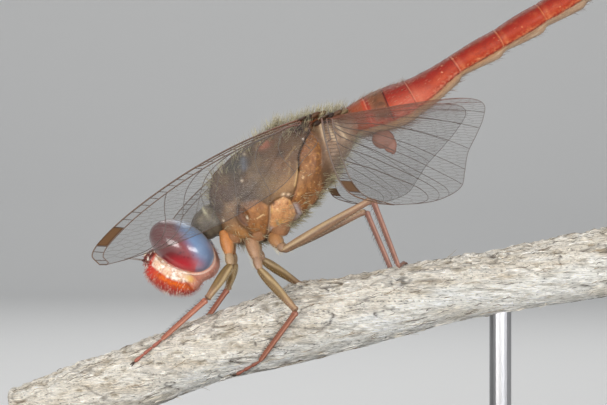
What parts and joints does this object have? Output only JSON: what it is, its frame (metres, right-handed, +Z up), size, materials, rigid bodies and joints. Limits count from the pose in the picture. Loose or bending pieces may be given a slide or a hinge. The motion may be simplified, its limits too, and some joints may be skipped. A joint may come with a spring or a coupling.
{
  "type": "dragonfly model on a perch",
  "caption": "Red dragonfly with swept, drooping clear wings and a raised slender abdomen, gripping a cut length of dry stem on a flat stand.",
  "frame": {"origin": "centre of the underside of the stand's base", "axes": "+Z up, -X the way the dragonfly faces, -Y its left side"},
  "size_m": [0.05, 0.0558, 0.0384],
  "materials": {
    "abdomen_red": "satin red cuticle",
    "thorax_brown": "dull brown cuticle with pale hair",
    "face_red": "glossy red cuticle",
    "head_pink": "satin pink-brown cuticle",
    "eye_red": "smooth faceted eye, red above and blue-grey behind",
    "leg_brown": "satin brown cuticle with spines",
    "wing_clear": "clear veined membrane",
    "perch_bark": "dry fibrous bark",
    "stand_black": "satin black",
    "stand_steel": "brushed"
  },
  "bodies": {
    "root": {"abdomen_1": "abdomen_red", "abdomen_10": "abdomen_red", "abdomen_2": "abdomen_red", "abdomen_3": "abdomen_red", "abdomen_4": "abdomen_red", "abdomen_5": "abdomen_red", "abdomen_6": "abdomen_red", "abdomen_7": "abdomen_red", "abdomen_8": "abdomen_red", "abdomen_9": "abdomen_red", "antenna_left": "leg_brown", "antenna_right": "leg_brown", "cercus_left": "abdomen_red", "cercus_right": "abdomen_red", "epiproct": "abdomen_red", "eye_left": "eye_red", "eye_right": "eye_red", "face": "face_red", "genital_lobe": "abdomen_red", "head": "head_pink", "leg_fore_left": "leg_brown", "leg_fore_right": "leg_brown", "leg_hind_left": "leg_brown", "leg_hind_right": "leg_brown", "leg_mid_left": "leg_brown", "leg_mid_right": "leg_brown", "perch": "perch_bark", "prothorax": "thorax_brown", "stand_base": "stand_black", "stand_rod_front": "stand_steel", "stand_rod_rear": "stand_steel", "thorax": "thorax_brown", "wing_fore_left": "wing_clear", "wing_fore_right": "wing_clear", "wing_hind_left": "wing_clear", "wing_hind_right": "wing_clear"}
  },
  "joints": []
}
